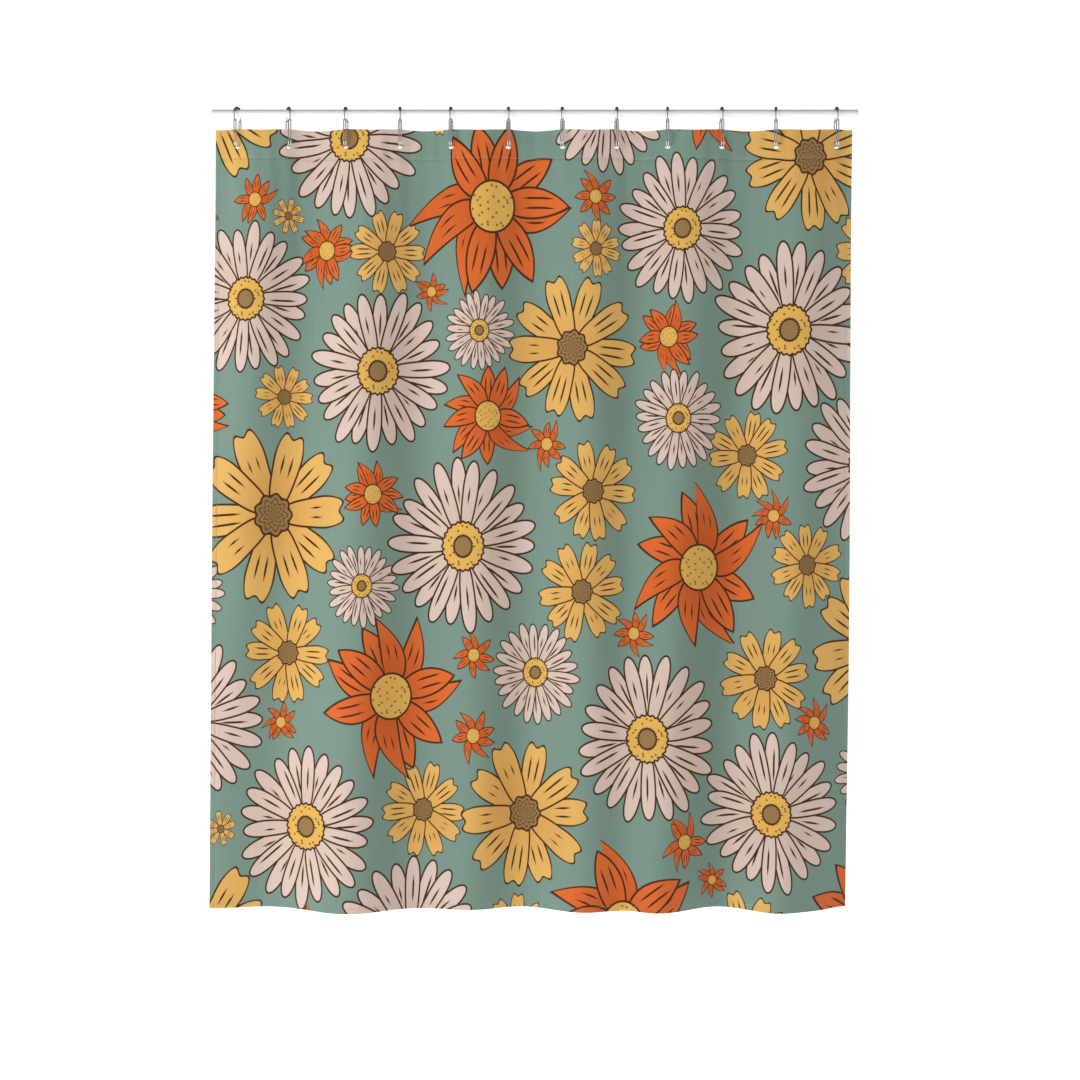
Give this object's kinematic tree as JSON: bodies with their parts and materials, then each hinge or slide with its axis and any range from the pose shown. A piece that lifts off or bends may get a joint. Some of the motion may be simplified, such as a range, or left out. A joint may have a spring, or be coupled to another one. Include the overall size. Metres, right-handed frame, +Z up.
{
  "type": "shower curtain",
  "caption": "Printed cloth shower curtain with a deep eyeleted top hem, hung by roller hooks that glide along a round straight rod.",
  "frame": {"origin": "middle of the rod's axis", "axes": "+X along the rod to the right as seen from the front, -Y towards the viewer in front of the curtain, +Z up"},
  "size_m": [1.5645, 0.1073, 1.9346],
  "materials": {
    "rod_coat": "satin",
    "plug_plastic": "matt",
    "hook_wire": "polished",
    "roller_beads": "polished",
    "hook_link": "polished",
    "printed_cloth": "matt ribbed weave, printed, white on the back",
    "hem_cloth": "matt ribbed weave, folded and stitched",
    "eyelet_thread": "whipped thread"
  },
  "bodies": {
    "rod": {"rod_tube": "rod_coat", "end_plug_left": "plug_plastic", "end_plug_right": "plug_plastic"},
    "curtain": {"curtain_panel": "printed_cloth", "top_hem": "hem_cloth", "bottom_hem": "hem_cloth", "side_hem_left": "hem_cloth", "side_hem_right": "hem_cloth"},
    "hook_01": {"hook_arch_01": "hook_wire", "hook_beads_01": "roller_beads", "hook_link_01": "hook_link", "eyelet_01": "eyelet_thread"},
    "hook_02": {"hook_arch_02": "hook_wire", "hook_beads_02": "roller_beads", "hook_link_02": "hook_link", "eyelet_02": "eyelet_thread"},
    "hook_03": {"hook_arch_03": "hook_wire", "hook_beads_03": "roller_beads", "hook_link_03": "hook_link", "eyelet_03": "eyelet_thread"},
    "hook_04": {"hook_arch_04": "hook_wire", "hook_beads_04": "roller_beads", "hook_link_04": "hook_link", "eyelet_04": "eyelet_thread"},
    "hook_05": {"hook_arch_05": "hook_wire", "hook_beads_05": "roller_beads", "hook_link_05": "hook_link", "eyelet_05": "eyelet_thread"},
    "hook_06": {"hook_arch_06": "hook_wire", "hook_beads_06": "roller_beads", "hook_link_06": "hook_link", "eyelet_06": "eyelet_thread"},
    "hook_07": {"hook_arch_07": "hook_wire", "hook_beads_07": "roller_beads", "hook_link_07": "hook_link", "eyelet_07": "eyelet_thread"},
    "hook_08": {"hook_arch_08": "hook_wire", "hook_beads_08": "roller_beads", "hook_link_08": "hook_link", "eyelet_08": "eyelet_thread"},
    "hook_09": {"hook_arch_09": "hook_wire", "hook_beads_09": "roller_beads", "hook_link_09": "hook_link", "eyelet_09": "eyelet_thread"},
    "hook_10": {"hook_arch_10": "hook_wire", "hook_beads_10": "roller_beads", "hook_link_10": "hook_link", "eyelet_10": "eyelet_thread"},
    "hook_11": {"hook_arch_11": "hook_wire", "hook_beads_11": "roller_beads", "hook_link_11": "hook_link", "eyelet_11": "eyelet_thread"},
    "hook_12": {"hook_arch_12": "hook_wire", "hook_beads_12": "roller_beads", "hook_link_12": "hook_link", "eyelet_12": "eyelet_thread"}
  },
  "joints": [
    {"name": "swing", "type": "hinge", "parent": "rod", "child": "curtain", "pos_m": [0, 0, 0], "axis": [1, 0, 0], "range_deg": [-15, 15]},
    {"name": "draw", "type": "slide", "parent": "curtain", "child": "hook_12", "axis": [-1, 0, 0], "range_m": [0, 1.0511], "deforming": ["curtain_panel", "top_hem", "bottom_hem", "side_hem_left", "side_hem_right"]},
    {"name": "glide_01", "type": "slide", "parent": "curtain", "child": "hook_01", "axis": [-1, 0, 0], "range_m": [0, 0.0411]},
    {"name": "glide_02", "type": "slide", "parent": "curtain", "child": "hook_02", "axis": [-1, 0, 0], "range_m": [0, 0.1271]},
    {"name": "glide_03", "type": "slide", "parent": "curtain", "child": "hook_03", "axis": [-1, 0, 0], "range_m": [0, 0.2238]},
    {"name": "glide_04", "type": "slide", "parent": "curtain", "child": "hook_04", "axis": [-1, 0, 0], "range_m": [0, 0.3151]},
    {"name": "glide_05", "type": "slide", "parent": "curtain", "child": "hook_05", "axis": [-1, 0, 0], "range_m": [0, 0.4011]},
    {"name": "glide_06", "type": "slide", "parent": "curtain", "child": "hook_06", "axis": [-1, 0, 0], "range_m": [0, 0.4978]},
    {"name": "glide_07", "type": "slide", "parent": "curtain", "child": "hook_07", "axis": [-1, 0, 0], "range_m": [0, 0.5891]},
    {"name": "glide_08", "type": "slide", "parent": "curtain", "child": "hook_08", "axis": [-1, 0, 0], "range_m": [0, 0.6804]},
    {"name": "glide_09", "type": "slide", "parent": "curtain", "child": "hook_09", "axis": [-1, 0, 0], "range_m": [0, 0.7664]},
    {"name": "glide_10", "type": "slide", "parent": "curtain", "child": "hook_10", "axis": [-1, 0, 0], "range_m": [0, 0.8577]},
    {"name": "glide_11", "type": "slide", "parent": "curtain", "child": "hook_11", "axis": [-1, 0, 0], "range_m": [0, 0.9491]}
  ],
  "couplings": [
    {"joint": "glide_01", "follows": "draw", "ratio": 0.03911},
    {"joint": "glide_02", "follows": "draw", "ratio": 0.12089},
    {"joint": "glide_03", "follows": "draw", "ratio": 0.21289},
    {"joint": "glide_04", "follows": "draw", "ratio": 0.29978},
    {"joint": "glide_05", "follows": "draw", "ratio": 0.38155},
    {"joint": "glide_06", "follows": "draw", "ratio": 0.47355},
    {"joint": "glide_07", "follows": "draw", "ratio": 0.56044},
    {"joint": "glide_08", "follows": "draw", "ratio": 0.64733},
    {"joint": "glide_09", "follows": "draw", "ratio": 0.72911},
    {"joint": "glide_10", "follows": "draw", "ratio": 0.816},
    {"joint": "glide_11", "follows": "draw", "ratio": 0.90289}
  ]
}
